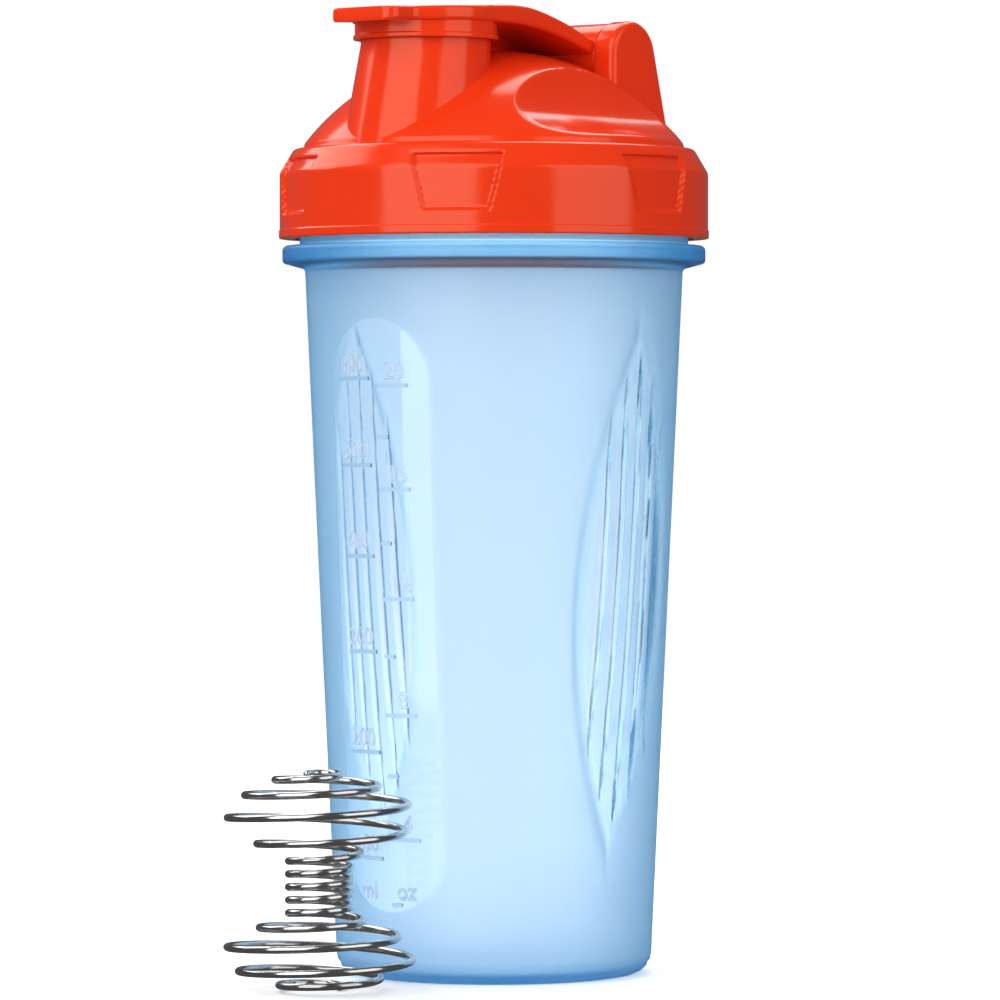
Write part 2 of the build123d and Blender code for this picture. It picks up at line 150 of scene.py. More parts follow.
class ShakerLid(bpy.types.PropertyGroup):
    skirt_r: length_prop("Skirt radius", "Outer radius of the skirt", 49.3)
    lip: length_prop("Lip", "Flare of the bottom lip", 0.2)
    bore: length_prop("Bore", "Inner radius of the skirt", 46.3)
    shoulder_z: length_prop("Shoulder foot", "Height where the shoulder starts", 184)
    shoulder_r: length_prop("Shoulder radius", "Radius at the top of the shoulder", 46)
    shoulder_top: length_prop("Shoulder top", "Height of the shoulder's top", 189.6)
    dome_r: length_prop("Dome radius", "Radius where the dome starts", 43.5)
    sphere_r: length_prop("Dome sphere", "Radius of the dome's sphere", 55)
    dome_top: length_prop("Dome top", "Height of the dome's highest point", 212.3)
    wall: length_prop("Wall", "Thickness of the dome", 2)
    pocket_depth: length_prop("Pocket depth", "Depth of the collar's pockets", 1)
    scoop_x: length_prop("Scoop offset", "Sideways offset of a finger scoop's axis", 41.4)
    scoop_z: length_prop("Scoop height", "Height of a finger scoop's axis", 210.6)
    scoop_r: length_prop("Scoop radius", "Radius of a finger scoop", 18.8)
    spout_y: length_prop("Spout offset", "Where the spout's bore stands", -24)
    spout_top: length_prop("Spout top", "Height of the spout's rim", 216.8)
    spout_r: length_prop("Spout radius", "Outer radius at the rim", 14.8)
    spout_bore: length_prop("Spout bore", "Inner radius of the spout", 12.7)
    ear_r: length_prop("Ear radius", "Radius of the ears' tops", 8.1)
    ear_t: length_prop("Ear thickness", "Thickness of one ear", 5.4)
    ear_gap: length_prop("Ear gap", "Between the inner faces of the ears", 34)
    plastic: colour_prop("Lid plastic", "Colour of the lid and cap", "#EC3813")


class ShakerCap(bpy.types.PropertyGroup):
    fit: length_prop("Fit", "Play between skirt and spout", 0.4)
    skirt_wall: length_prop("Skirt wall", "Thickness of the skirt", 1)
    skirt_drop: length_prop("Skirt drop", "From the spout's rim to the skirt's edge", 3.2)
    plate_r: length_prop("Plate radius", "Radius of the plate over the spout", 17)
    band_t: length_prop("Band", "Thickness of the plate and strap", 3.9)
    tab_reach: length_prop("Tab reach", "From the axis to the thumb tab's tip", 47)
    tab_half_w: length_prop("Tab half width", "Half width of the thumb tab", 9.5)
    strap_half_w: length_prop("Strap half width", "Half width of the strap", 16.3)
    barrel_r: length_prop("Barrel radius", "Radius of the hinge barrel", 7.8)
    trunnion_r: length_prop("Trunnion radius", "Radius of the hinge trunnions", 3.2)


class ShakerWhisk(bpy.types.PropertyGroup):
    wire: length_prop("Wire", "Diameter of the wire", 1.74)
    waist_r: length_prop("Waist radius", "Radius of the close coils", 7)
    middle_y: length_prop("Middle", "Where the whisk stands in front of the cup", -60.5)
    waist_top: length_prop("Waist top", "Height where the close coils start", 29.1)
    waist_pitch: length_prop("Waist pitch", "From one close coil to the next", 2.9)
    start: angle_prop("Start", "Where the top end points", 220)
    steps: IntProperty(name="Steps", description="Rings of wire for each turn", default=56)
    steel: colour_prop("Steel", "Colour of the wire", "#C4C3C2")


class ShakerStage(bpy.types.PropertyGroup):
    azimuth: angle_prop("Azimuth", "Camera's turn round the bottle from the front", 40)
    distance: length_prop("Distance", "From the bottle's axis to the camera", 1400)
    eye: length_prop("Eye height", "Height of the camera", 131)
    aim: length_prop("Aim height", "Height that the camera looks at", 108.9)
    aside: length_prop("Aim aside", "How far right of the axis the camera looks", 1.4)
    lens: number_prop("Lens", "Focal length in mm", 218.7)
    room_light: number_prop("Room light", "Light from the room", 0.4)
    room_gloss: number_prop("Room gloss", "How bright the room is in reflections", 0.1)
    room_through: number_prop("Room through", "How bright the room is through the cup", 1.0)
    room_seen: number_prop("Room seen", "How bright the room behind the bottle is", 1.0)
    floor_r: length_prop("Floor radius", "Radius of the floor", 1600)
    backdrop: colour_prop("Floor", "Colour of the floor", "#F7F8FA")
    glow: number_prop("Glow", "Light through the floor", 0.3)


# ---------------------------------------------------------------- mesh helpers, in metres
def rounded(corners, steps=5):
    """Outline through corners (radius, height, rounding), with arcs where rounding isn't 0."""
    out = []
    for i, (r, z, fillet) in enumerate(corners):
        here = Vector((r, z))
        if not fillet or i in (0, len(corners) - 1):
            out.append(here)
            continue
        back = (Vector(corners[i - 1][:2]) - here).normalized()
        ahead = (Vector(corners[i + 1][:2]) - here).normalized()
        half = math.acos(max(-1, min(1, back.dot(ahead)))) / 2
        centre = here + (back + ahead).normalized() * fillet / math.sin(half)
        reach = fillet / math.tan(half)
        spoke0, spoke1 = here + back * reach - centre, here + ahead * reach - centre
        turn = spoke0.angle_signed(spoke1)
        for k in range(steps + 1):
            a = -turn * k / steps
            c, s = math.cos(a), math.sin(a)
            out.append(centre + Vector((spoke0.x * c - spoke0.y * s, spoke0.x * s + spoke0.y * c)))
    return out


def split(points, step):
    """The same outline with no stretch longer than step."""
    out = [points[0]]
    for a, b in zip(points, points[1:]):
        count = max(1, math.ceil((b - a).length / step))
        out += [a.lerp(b, k / count) for k in range(1, count + 1)]
    return out


def spin(outline, angles, shape=None):
    """Points and faces of an outline turned about Z; ends on the axis close to one point.
    shape(x, y, z) may move all the points."""
    ring = np.array(angles)
    r = np.array([p.x for p in outline])[:, None]
    z = np.array([p.y for p in outline])[:, None]
    x, y = r * np.cos(ring), r * np.sin(ring)
    z = z + 0 * x
    if shape:
        x, y, z = shape(x, y, z)
    rows, cols = x.shape
    points = np.stack([x, y, z], -1).reshape(-1, 3)
    faces = []
    for i in range(rows - 1):
        for j in range(cols):
            k = (j + 1) % cols
            quad = [i * cols + j, i * cols + k, (i + 1) * cols + k, (i + 1) * cols + j]
            if outline[i].x < 1e-6:
                quad = [i * cols, *quad[2:]]
            elif outline[i + 1].x < 1e-6:
                quad = [*quad[:2], (i + 1) * cols]
            faces.append(quad)
    return points, faces


def evenly(count):
    return [2 * math.pi * k / count for k in range(count)]


def solid(name, parts, material, sharp=40):
    """One object from several (points, faces), smooth but for edges sharper than sharp degrees."""
    verts, faces = [], []
    for points, polygons in parts:
        faces += [[v + len(verts) for v in f] for f in polygons]
        verts += [tuple(p) for p in points]
    mesh = bpy.data.meshes.new(name)
    mesh.from_pydata(verts, [], faces)
    bm = bmesh.new()
    bm.from_mesh(mesh)
    loose = [v for v in bm.verts if not v.link_faces]
    bmesh.ops.delete(bm, geom=loose, context="VERTS")
    bmesh.ops.remove_doubles(bm, verts=bm.verts, dist=1e-6)
    bmesh.ops.recalc_face_normals(bm, faces=bm.faces)
    bm.to_mesh(mesh)
    bm.free()
    mesh.polygons.foreach_set("use_smooth", [True] * len(mesh.polygons))
    mesh.set_sharp_from_angle(angle=math.radians(sharp))
    mesh.materials.append(material)
    made = bpy.data.objects.new(name, mesh)
    bpy.context.scene.collection.objects.link(made)
    return made


def place(made, body, node):
    """Fixes a piece to a body, in place of a CAD node."""
    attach(made, body)
    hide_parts(node)
    return made


def step(t):
    """Smooth rise from 0 to 1."""
    t = np.clip(t, 0, 1)
    return t * t * (3 - 2 * t)


def lower_of(a, b, soft):
    """The lower of two heights, with a soft crease."""
    blend = np.clip(0.5 + (b - a) / (2 * soft), 0, 1)
    return b * (1 - blend) + a * blend - soft * blend * (1 - blend)


def prism_x(outline, x0, x1, round_r=0.0, hole=None, steps=5):
    """An outline of (y, z) points pushed from x0 to x1, with the edge at x1 rounded
    and a round blind hole (y, z, radius, depth) in the face at x0."""
    sign = 1 if x1 > x0 else -1
    count = len(outline)
    normals = []
    for i in range(count):
        ahead = (outline[(i + 1) % count] - outline[i - 1]).normalized()
        normals.append(Vector((ahead.y, -ahead.x)))
    centre = sum(outline, Vector((0, 0))) / count
    if sum((outline[i] - centre).dot(normals[i]) for i in range(count)) < 0:
        normals = [-n for n in normals]
    layers = [(x0, 0.0)]
    if round_r:
        for k in range(steps + 1):
            a = math.pi / 2 * k / steps
            layers.append((x1 - sign * round_r * (1 - math.sin(a)), round_r * (1 - math.cos(a))))
    else:
        layers.append((x1, 0.0))
    points = []
    for x, inset in layers:
        points += [(x, *(outline[i] - normals[i] * inset)) for i in range(count)]
    faces = ring_faces(len(layers), count)
    last = (len(layers) - 1) * count
    faces.append([last + i for i in range(count)])
    if not hole:
        faces.append(list(range(count))[::-1])
        return points, faces
    y, z, radius, depth = hole
    bm = bmesh.new()
    edges = []
    for loop in (outline, [Vector((y + radius * math.cos(a), z + radius * math.sin(a)))
                           for a in evenly(32)]):
        verts = [bm.verts.new((x0, p.x, p.y)) for p in loop]
        edges += [bm.edges.new((verts[i - 1], verts[i])) for i in range(len(verts))]
    bmesh.ops.triangle_fill(bm, edges=edges, use_beauty=True)
    bm.verts.index_update()
    base = len(points)
    points += [tuple(v.co) for v in bm.verts]
    faces += [[base + v.index for v in f.verts] for f in bm.faces]
    bm.free()
    base = len(points)
    for x in (x0, x0 + sign * depth):
        points += [(x, y + radius * math.cos(a), z + radius * math.sin(a)) for a in evenly(32)]
    faces += [[base + v for v in f] for f in ring_faces(2, 32)]
    faces.append([base + 32 + i for i in range(32)])
    return points, faces


def ring_faces(rows, cols):
    """Quads between rows of closed rings."""
    return [
        [i * cols + j, i * cols + (j + 1) % cols, (i + 1) * cols + (j + 1) % cols, (i + 1) * cols + j]
        for i in range(rows - 1) for j in range(cols)
    ]


def barrel_x(outline, y, z):
    """An outline of (radius, x) turned about an axis along X."""
    points, faces = spin(outline, evenly(64))
    return [(p[2], y + p[0], z + p[1]) for p in points], faces


def thread(wall_r, sign, z, turns, start=0.0):
    """Thread ridge on a wall, outward for sign 1 and inward for -1, with faded ends."""
    depth, root, crest, sunk = 1.3 * MM, 1.5 * MM, 0.8 * MM, 0.3 * MM
    count = int(turns * 96)
    points = []
    for k in range(count + 1):
        a = 2 * math.pi * (start + turns * k / count)
        fade = min(1, min(k, count - k) / 8)
        middle = z + THREAD_LEAD * turns * k / count
        for out, up in ((-sunk, -root), (depth * fade, -crest), (depth * fade, crest), (-sunk, root)):
            r = wall_r + sign * out
            points.append((r * math.cos(a), r * math.sin(a), middle + up))
    faces = ring_faces(count + 1, 4)
    faces += [[3, 2, 1, 0], [len(points) - 4 + i for i in range(4)]]
    return points, faces


# ---------------------------------------------------------------- materials
def add_node(tree, kind, inputs=None, **settings):
    """Adds a node with its settings; an input takes a value, or a socket or node to link."""
    made = tree.nodes.new("ShaderNode" + kind)
    for name, value in settings.items():
        setattr(made, name, value)
    return feed(tree, made, inputs or {})


def feed(tree, node, inputs):
    """Links a socket, or a node's first live one, to each named input, or sets its value."""
    for key, value in inputs.items():
        if isinstance(value, bpy.types.Node):
            value = next(socket for socket in value.outputs if socket.enabled)
        if isinstance(value, bpy.types.NodeSocket):
            tree.links.new(value, node.inputs[key])
        else:
            node.inputs[key].default_value = value
    return node


def fine_grain(tree, size, detail, roughness, bump, height):
    """Roughness and surface relief from one grain of the given size in mm."""
    grain = add_node(
        tree, "TexNoise", {"Vector": millimetres(tree), "Scale": 1 / size, "Detail": detail}
    )
    rough = add_node(
        tree, "MapRange", {"Value": grain, "To Min": roughness[0], "To Max": roughness[1]}
    )
    relief = add_node(tree, "Bump", {"Height": grain, "Strength": bump, "Distance": height})
    return {"Roughness": rough, "Normal": relief}


def new_material(name):
    """An empty node material with its surface node."""
    material = bpy.data.materials.new(name)
    material.use_nodes = True
    tree = material.node_tree
    shader = tree.nodes["Principled BSDF"]
    return material, tree, shader


def millimetres(tree):
    """Object coordinates in millimetres."""
    coords = add_node(tree, "TexCoord")
    return add_node(
        tree, "VectorMath", {0: coords.outputs["Object"], "Scale": 1000.0}, operation="SCALE"
    )


def frosted_polypropylene(s):
    """Polypropylene moulded against a spark-eroded tool, polished flat in the scale windows:
    milky and soft where the tool was eroded, glass-clear where it was polished."""
    material, tree, shader = new_material("frosted_moulded_polypropylene")
    place_mm = millimetres(tree)
    parts = add_node(tree, "SeparateXYZ", {0: place_mm}).outputs
    half_w = s.window_half_w / MM
    low, high = s.window_low / MM + half_w, s.window_high / MM - half_w
    clamped = add_node(tree, "Clamp", {0: parts["Z"], 1: low, 2: high})
    above = add_node(tree, "Math", {0: parts["Z"], 1: clamped}, operation="SUBTRACT")
    flat = add_node(tree, "CombineXYZ", {0: parts["X"], 1: above})
    reach = add_node(tree, "VectorMath", {0: flat}, operation="LENGTH")
    frosted = add_node(
        tree, "MapRange",
        {"Value": reach, "From Min": half_w - 0.6, "From Max": half_w + 0.3},
    )
    under_flange = s.flange_z / MM - 0.6
    in_wall = add_node(
        tree, "MapRange",
        {"Value": parts["Z"], "From Min": under_flange - 1.0, "From Max": under_flange},
    )
    frosted = add_node(tree, "Math", {0: frosted, 1: in_wall}, operation="MAXIMUM")
    raised = add_node(tree, "Attribute", attribute_name="raised").outputs["Fac"]
    frosted = add_node(tree, "Math", {0: frosted, 1: raised}, operation="MAXIMUM")
    patches = add_node(tree, "TexNoise", {"Vector": place_mm, "Scale": 0.09, "Detail": 3.0})
    rough = add_node(tree, "MapRange", {"Value": patches, "To Min": 0.4, "To Max": 0.48})
    rough = add_node(tree, "Mix", {"Factor": frosted, "A": 0.03, "B": rough}, data_type="FLOAT")
    # eroded grain is about 0.05 mm; drawn at 0.35 mm so that it shows
    grain = add_node(tree, "TexNoise", {"Vector": place_mm, "Scale": 1 / 0.35, "Detail": 2.0})
    grain = add_node(tree, "Math", {0: grain, 1: frosted}, operation="MULTIPLY")
    in_grip = add_node(tree, "Attribute", attribute_name="polished").outputs["Fac"]
    rough = add_node(tree, "Mix", {"Factor": in_grip, "A": rough, "B": 0.2}, data_type="FLOAT")
    bump = add_node(tree, "Bump", {"Height": grain, "Strength": 0.12, "Distance": 0.05 * MM})
    feed(tree, shader, {
        "Roughness": rough, "Normal": bump, "Base Color": (*s.plastic, 1),
        "IOR": POLYPROPYLENE_IOR, "Transmission Weight": 1.0,
    })
    # the dye deepens with the thickness that light crosses
    depth = add_node(tree, "VolumeAbsorption", {"Color": (*s.depth_tint, 1), "Density": s.dye})
    feed(tree, tree.nodes["Material Output"], {"Volume": depth})
    return material


def glossy_polypropylene(s):
    """Opaque red polypropylene from a polished tool: a clear gloss with a faint waviness
    where the skin cooled, and a little more haze in patches from handling."""
    material, tree, shader = new_material("glossy_moulded_polypropylene")
    place_mm = millimetres(tree)
    haze = add_node(tree, "TexNoise", {"Vector": place_mm, "Scale": 0.12, "Detail": 4.0})
    rough = add_node(tree, "MapRange", {"Value": haze, "To Min": 0.1, "To Max": 0.2})
    tone = add_node(tree, "TexNoise", {"Vector": place_mm, "Scale": 0.05})
    dark = tuple(c * 0.93 for c in s.plastic)
    colour = add_node(
        tree, "Mix",
        {"Factor": tone, "A": (*dark, 1), "B": (*s.plastic, 1)}, data_type="RGBA",
    )
    wave = add_node(tree, "TexNoise", {"Vector": place_mm, "Scale": 1 / 6, "Detail": 1.0})
    bump = add_node(tree, "Bump", {"Height": wave, "Strength": 0.15, "Distance": 0.1 * MM})
    # the specular tint is the pigment just under the skin, which warms the gloss
    feed(tree, shader, {
        "Base Color": colour, "Roughness": rough, "Normal": bump,
        "IOR": POLYPROPYLENE_IOR, "Specular Tint": (1, 0.85, 0.6, 1),
    })
    return material


def white_silicone():
    """Moulded silicone rubber: milky white, dull, with a fine dusty grain."""
    material, tree, shader = new_material("moulded_silicone_rubber")
    feed(tree, shader, fine_grain(tree, 0.5, 2.0, (0.45, 0.6), 0.2, 0.05 * MM))
    feed(tree, shader, {
        "Base Color": (*linear("#E6E8E6"), 1), "Subsurface Weight": 0.3, "Subsurface Scale": 2 * MM,
    })
    return material


def polished_steel_wire(s):
    """Stainless steel wire, drawn and electropolished: bright, with faint draw lines."""
    material, tree, shader = new_material("electropolished_stainless_wire")
    feed(tree, shader, fine_grain(tree, 0.4, 3.0, (0.1, 0.2), 0.1, 0.02 * MM))
    feed(tree, shader, {"Base Color": (*s.steel, 1), "Metallic": 1.0})
    return material


def opal_acrylic(s):
    """Opal acrylic sheet, lit from behind: satin, nearly white, with a faint glow."""
    material, tree, shader = new_material("backlit_opal_acrylic")
    tint = (*s.backdrop, 1)
    feed(tree, shader, {
        "Base Color": tint, "Roughness": 0.6, "Emission Color": tint, "Emission Strength": s.glow,
    })
    return material


# ---------------------------------------------------------------- cup
def cup_wall_r(s, z):
    """Outer radius of the tapered wall at height z."""
    share = (z - s.base_round) / (s.taper_top - s.base_round)
    return s.base_r + (s.top_r - s.base_r) * share


def beside_grip(angle):
    """Turn from the nearer of the two sides, where the grips are."""
    return (angle + math.pi / 2) % math.pi - math.pi / 2


def grip_lean(s, z):
    """How far a grip's middle line is shifted sideways at height z."""
    share = np.clip((z - s.grip_z) / s.grip_half_h, -1.2, 1.2)
    foot, waist, top = s.grip_foot, s.grip_waist, s.grip_top
    return waist + (top - foot) / 2 * share + ((top + foot) / 2 - waist) * share**2


def grip_place(s, angle, z):
    """Where a point lies on its grip: across from the leaning middle line, and up."""
    across = beside_grip(angle) * cup_wall_r(s, z) - grip_lean(s, z)
    return across, z - s.grip_z


def lean_with_grips(s, angle, z):
    """The angle with its mesh lines leaned, so that they run along the grooves."""
    near = step((1.4 - np.abs(beside_grip(angle))) / 0.9)
    return angle + near * grip_lean(s, z) / cup_wall_r(s, z)


def grip_edge(s, across, up, grow=0.0):
    """Distance inside the lens outline of a grip."""
    half_w, half_h = s.grip_half_w + grow, s.grip_half_h + grow
    arc = (half_w**2 + half_h**2) / (2 * half_w)
    return np.sqrt(np.maximum(arc**2 - up**2, 0)) - (arc - half_w) - np.abs(across)


def grip_relief(s, angle, z, grow=0.0, grooves=True):
    """How far the wall steps in for the finger grips and their grooves."""
    across, up = grip_place(s, angle, z)
    depth = s.grip_depth * step(grip_edge(s, across, up, grow) / (2.6 * MM))
    if grooves:
        for k in range(-2, 3):
            long = (55 * MM, 51 * MM, 41 * MM)[abs(k)]
            taper = np.clip(1 - (up / long) ** 2, 0, 1) ** 0.8
            half = np.maximum(s.groove_w / 2 * taper, 1e-6)
            away = np.clip(np.abs(across - k * s.groove_pitch) / half / 0.7 - 0.43, 0, 1)
            profile = 0.5 + 0.5 * np.cos(math.pi * away)
            depth = depth + s.groove_depth * profile * np.minimum(1, 1.6 * taper)
    return depth


def mark_polish(s, made):
    """Stores where the tool was polished, which is inside the grips."""
    mesh = made.data
    spots = np.zeros(len(mesh.vertices) * 3)
    mesh.vertices.foreach_get("co", spots)
    x, y, z = spots.reshape(-1, 3).T
    edge = grip_edge(s, *grip_place(s, np.arctan2(y, x), z))
    layer = mesh.attributes.new("polished", "FLOAT", "POINT")
    layer.data.foreach_set("value", step(edge / (3 * MM)).astype(np.float32))


class SHAKER_OT_cup(bpy.types.Operator):
    """Builds the frosted cup with its grips, flange and threaded neck"""
    bl_idname = "shaker.cup"
    bl_label = "Cup"

    def execute(self, context):
        s = context.scene.shaker_cup
        rim = CUP_HIGH.z
        foot_r = cup_wall_r(s, 0)
        flange_top = s.flange_z + s.flange_t
        outer = rounded([
            (0, 0, 0), (foot_r, 0, s.base_round), (s.top_r, s.taper_top, 1 * MM),
            (s.flange_r, s.flange_z, 1 * MM), (s.flange_r, flange_top, 1.2 * MM),
            (s.neck_r, flange_top, 0.6 * MM), (s.neck_r, rim, 0.5 * MM), (s.neck_r - 1 * MM, rim, 0),
        ])
        neck_bore = s.neck_r - s.neck_wall
        inner = rounded([
            (s.neck_r - 1 * MM, rim, 0), (neck_bore, rim, 0.5 * MM),
            (neck_bore, s.taper_top + 4 * MM, 1 * MM), (s.top_r - s.wall, s.taper_top, 1 * MM),
            (cup_wall_r(s, s.floor) - s.wall, s.floor, 3 * MM), (0, s.floor, 0),
        ])
        fine, coarse = math.radians(0.45), math.radians(1.8)
        angles = []
        a = 0.0
        while a < 2 * math.pi - coarse / 2:
            angles.append(a)
            a += fine if abs(beside_grip(a)) < math.radians(32) else coarse

        def outside(x, y, z):
            r = np.hypot(x, y)
            angle = lean_with_grips(s, np.arctan2(y, x), z)
            on_wall = (z > s.base_round * 0.8) & (z < s.taper_top + 0.5 * MM)
            cut = grip_relief(s, angle, z) * on_wall
            line = np.exp(-(((z - s.foot_band) / (0.35 * MM)) ** 2)) * 0.25 * MM * (r > 0.9 * foot_r)
            r = r - cut - line
            return r * np.cos(angle), r * np.sin(angle), z

        def inside(x, y, z):
            angle, r = np.arctan2(y, x), np.hypot(x, y)
            on_wall = (z > s.floor + 3 * MM) & (z < s.taper_top + 0.5 * MM)
            cut = grip_relief(s, angle, z, s.wall, grooves=False) * on_wall
            k = 1 - cut / np.maximum(r, 1e-6)
            return x * k, y * k, z

        wall = [
            spin(split(outer, 1.5 * MM), angles, outside),
            spin(split(inner, 4 * MM), angles, inside),
        ]
        neck = thread(s.neck_r, 1, THREAD_Z, NECK_TURNS)
        made = solid("cup_body", [*wall, neck], frosted_polypropylene(s))
        mark_polish(s, made)
        place(made, "cup", "cup")
        return {"FINISHED"}


def wrap_on_cup(cup, points, facing):
    """Flat points (across, up, out) laid on the cup's wall at the angle facing."""
    out = []
    for u, v, w in points:
        r = cup_wall_r(cup, v)
        a = facing + u / r
        out.append(((r + w) * math.cos(a), (r + w) * math.sin(a), v))
    return out


def outline_text(words, size, stroke):
    """The outlines of a text as thin raised lines, in the built-in typeface."""
    curve = bpy.data.curves.new("lettering", "FONT")
    curve.body = words
    curve.size = size
    curve.align_x = "CENTER"
    curve.fill_mode = "NONE"
    curve.bevel_depth = stroke
    curve.bevel_resolution = 1
    curve.resolution_u = 3
    holder = bpy.data.objects.new("lettering", curve)
    bpy.context.scene.collection.objects.link(holder)
    bpy.context.view_layer.update()
    graph = bpy.context.evaluated_depsgraph_get()
    mesh = bpy.data.meshes.new_from_object(holder.evaluated_get(graph))
    points = [tuple(v.co) for v in mesh.vertices]
    faces = [list(p.vertices) for p in mesh.polygons]
    bpy.data.objects.remove(holder)
    bpy.data.curves.remove(curve)
    bpy.data.meshes.remove(mesh)
    return points, faces


def height_for(cup, millilitres):
    """Height in the cup at which it holds so many millilitres."""
    z, volume, rise = cup.floor, 0.0, 0.1 * MM
    while volume < millilitres * 1e-6:
        volume += math.pi * (cup_wall_r(cup, z) - cup.wall) ** 2 * rise
        z += rise
    return z


class SHAKER_OT_marks(bpy.types.Operator):
    """Builds the raised scale in both windows: millilitres left, fluid ounces right"""
    bl_idname = "shaker.marks"
    bl_label = "Scale marks"

    def execute(self, context):
        cup, s = context.scene.shaker_cup, context.scene.shaker_marks
        flat = []

        def tick(x, z, length):
            half, soft = length / 2, s.line * 0.3
            outline = rounded([
                (-half, 0, 0), (-half, -s.line / 2, soft), (half, -s.line / 2, soft),
                (half, s.line / 2, soft), (-half, s.line / 2, soft), (-half, 0, 0),
            ], 3)[:-1]
            points = [(x + p.x, z + p.y, w) for w in (0.0, s.height) for p in split(outline, 1 * MM)]
            count = len(points) // 2
            faces = ring_faces(2, count) + [list(range(count)), [count + i for i in range(count)]]
            flat.append((points, faces))

        def words(text, x, z):
            points, faces = outline_text(text, s.digits / 0.72, s.stroke)
            flat.append(([(x + p[0], z + p[1], p[2] + s.stroke) for p in points], faces))

        left = -s.middle - s.ml_tick / 2
        for millilitres in range(100, 601, 100):
            z = height_for(cup, millilitres)
            tick(left, z, s.ml_tick)
            words(str(millilitres), left - 0.6 * MM, z + 1.6 * MM)
        for ounces in range(2, 21, 2):
            z = height_for(cup, ounces * ML_PER_OZ)
            length = s.oz_tick if ounces % 4 == 0 else s.short_tick
            tick(s.middle + length / 2, z, length)
            if ounces % 4 == 0:
                words(str(ounces), s.middle + s.oz_tick * 0.6, z + 1.6 * MM)
        low = height_for(cup, 100) - 9 * MM
        words("ml", left, low)
        words("oz", s.middle + s.oz_tick / 2, low)
        parts = [
            (wrap_on_cup(cup, points, facing), faces)
            for facing in (-math.pi / 2, math.pi / 2) for points, faces in flat
        ]
        made = solid("cup_scale_marks", parts, bpy.data.materials["frosted_moulded_polypropylene"])
        layer = made.data.attributes.new("raised", "FLOAT", "POINT")
        layer.data.foreach_set("value", np.full(len(made.data.vertices), 0.8, np.float32))
        place(made, "cup", "cup")
        return {"FINISHED"}


# ---------------------------------------------------------------- lid
def dome_height(s, x, y, inset):
    """Height of the dome's skin with its scoops and hinge trough, inset from the outside."""
    centre = s.dome_top - s.sphere_r
    z = centre + np.sqrt(np.maximum((s.sphere_r - inset) ** 2 - x**2 - y**2, 0))
    reach = s.scoop_r + inset
    aside = np.abs(x) - s.scoop_x
    scoop = s.scoop_z - np.sqrt(np.maximum(reach**2 - aside**2, 0))
    scoop = np.where(np.abs(aside) < reach, scoop, 1.0)
    z = lower_of(z, scoop, 0.9 * MM)
    _, hinge_y, hinge_z = HINGE["pos_m"]
    room = 8.3 * MM + inset
    trough = hinge_z - np.sqrt(np.maximum(room**2 - (y - hinge_y) ** 2, 0))
    inside = (np.abs(y - hinge_y) < room) & (np.abs(x) < s.ear_gap / 2 + 0.5 * MM + inset)
    return np.minimum(z, np.where(inside, trough, 1.0))


def pocket_relief(s, angle, z):
    """How far the collar steps in for its six trapezoid pockets."""
    low, high = 174.5 * MM, 187 * MM
    pitch = math.pi / 3
    beside = (angle + math.pi / 2) % pitch - pitch / 2
    half = math.radians(8.7) + math.radians(12.5 - 8.7) * (z - low) / (high - low)
    edge = (half - np.abs(beside)) * s.skirt_r
    edge = np.minimum(edge, np.minimum(z - low, high - z))
    return s.pocket_depth * step(edge / (0.7 * MM) + 0.5)


def spout_wall(s, z):
    """Middle and outer radius of the leaning spout at height z."""
    foot_y, foot_z, foot_r = -26.3 * MM, 198 * MM, 15.9 * MM
    straight = s.spout_top - 4 * MM
    share = np.minimum((z - foot_z) / (straight - foot_z), 1)
    return foot_y + (s.spout_y - foot_y) * share, foot_r + (s.spout_r - foot_r) * share


def without_bore(s, points, faces):
    """Drops the faces that lie over the spout's bore."""
    limit = s.spout_bore + 0.9 * MM
    centres = np.array([np.mean([points[v][:2] for v in f], axis=0) for f in faces])
    away = np.hypot(centres[:, 0], centres[:, 1] - s.spout_y)
    return points, [f for f, d in zip(faces, away) if d > limit]


def spout_tube(s):
    """The spout, from just under the dome's skin to its rounded rim and down its bore."""
    count = 128
    ring = np.array(evenly(count))
    rows = []
    ux, uy = np.cos(ring), np.sin(ring)

    def at_height(z):
        middle, r = spout_wall(s, z)
        return np.stack([r * ux, middle + r * uy, z], -1)

    start = at_height(np.full(count, 205 * MM))
    for _ in range(8):
        start = at_height(dome_height(s, start[:, 0], start[:, 1], 0) - 0.8 * MM)
    for k in range(13):
        z = start[:, 2] + (s.spout_top - 0.7 * MM - start[:, 2]) * k / 12
        rows.append(at_height(z))
    wall = s.spout_r - s.spout_bore
    for k in range(1, 9):
        a = math.pi * k / 8
        r = s.spout_bore + wall / 2 + wall / 2 * math.cos(a)
        z = s.spout_top - 0.7 * MM + 0.7 * MM * math.sin(a)
        rows.append(np.stack([r * ux, s.spout_y + r * uy, np.full(count, z)], -1))
    bore = np.stack([s.spout_bore * ux, s.spout_y + s.spout_bore * uy], -1)
    foot = dome_height(s, bore[:, 0], bore[:, 1], s.wall) - 0.5 * MM
    rows.append(np.column_stack([bore, foot]))
    lip_r = s.spout_bore + 1.6 * MM
    lip = np.stack([lip_r * ux, s.spout_y + lip_r * uy], -1)
    lip_z = dome_height(s, lip[:, 0], lip[:, 1], s.wall)
    rows.append(np.column_stack([lip, lip_z - 0.5 * MM]))
    rows.append(np.column_stack([lip, lip_z + 0.6 * MM]))
    return np.concatenate(rows), ring_faces(len(rows), count)


